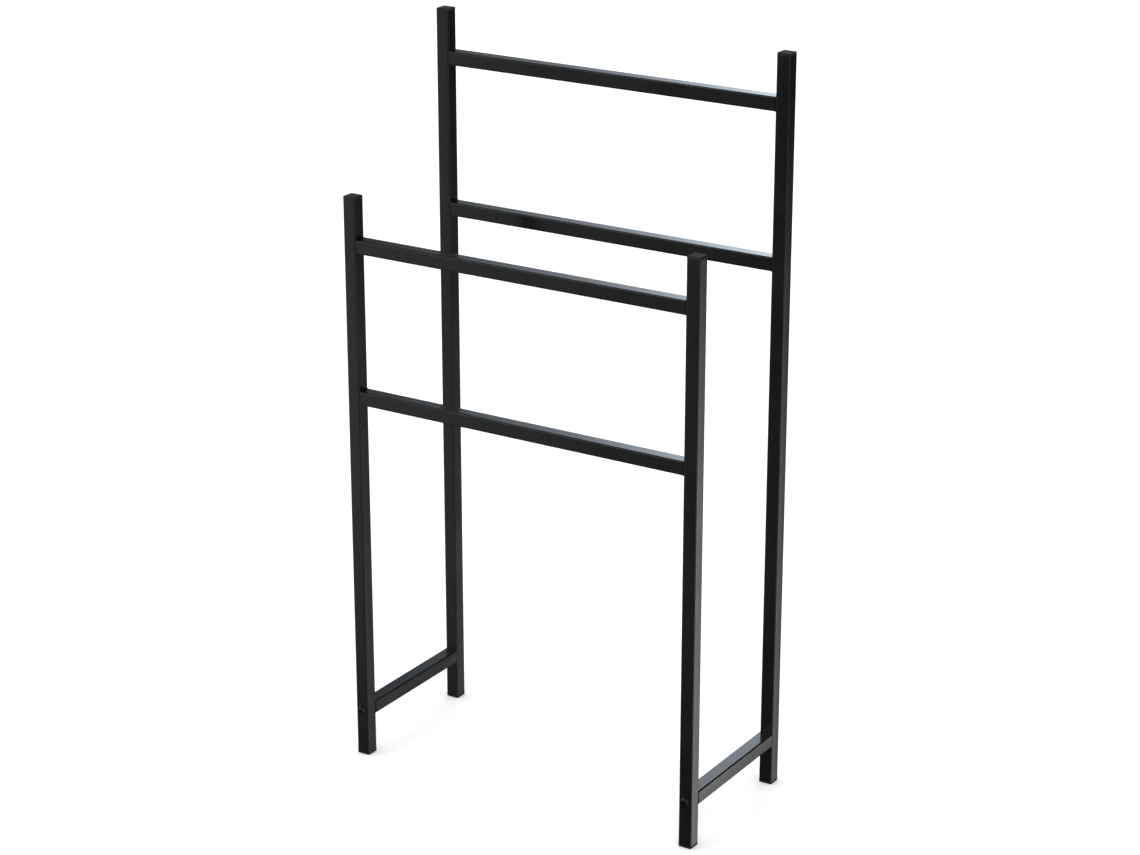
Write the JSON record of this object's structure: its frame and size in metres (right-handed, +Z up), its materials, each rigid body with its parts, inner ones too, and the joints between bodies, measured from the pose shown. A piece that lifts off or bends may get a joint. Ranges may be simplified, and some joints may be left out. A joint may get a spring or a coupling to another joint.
{
  "type": "free-standing towel rack",
  "caption": "Free-standing towel rack: a tall rear ladder frame and a lower front one in black square steel tube, joined near the floor by bolted side rails.",
  "frame": {"origin": "on the floor, under the middle of the rack", "axes": "+X to the right along the bars, +Y to the back, from the lower frame to the taller one, +Z up"},
  "size_m": [0.4502, 0.206, 0.85],
  "materials": {
    "powder_coat": "satin black powder coat",
    "plug_plastic": "fine-grained black moulded plastic",
    "black_screw": "blackened steel, slightly glossy",
    "plated_steel": "bright zinc-plated steel"
  },
  "bodies": {
    "root": {"front_left_leg": "powder_coat", "front_left_cap": "plug_plastic", "front_left_foot": "plug_plastic", "front_left_screw": "black_screw", "front_left_rail_nut": "plated_steel", "front_right_leg": "powder_coat", "front_right_cap": "plug_plastic", "front_right_foot": "plug_plastic", "front_right_screw": "black_screw", "front_right_rail_nut": "plated_steel", "front_upper_bar": "powder_coat", "front_lower_bar": "powder_coat", "front_frame_welds": "powder_coat", "rear_left_leg": "powder_coat", "rear_left_cap": "plug_plastic", "rear_left_foot": "plug_plastic", "rear_left_screw": "black_screw", "rear_left_rail_nut": "plated_steel", "rear_right_leg": "powder_coat", "rear_right_cap": "plug_plastic", "rear_right_foot": "plug_plastic", "rear_right_screw": "black_screw", "rear_right_rail_nut": "plated_steel", "rear_upper_bar": "powder_coat", "rear_lower_bar": "powder_coat", "rear_frame_welds": "powder_coat", "left_side_rail": "powder_coat", "right_side_rail": "powder_coat"}
  },
  "joints": []
}
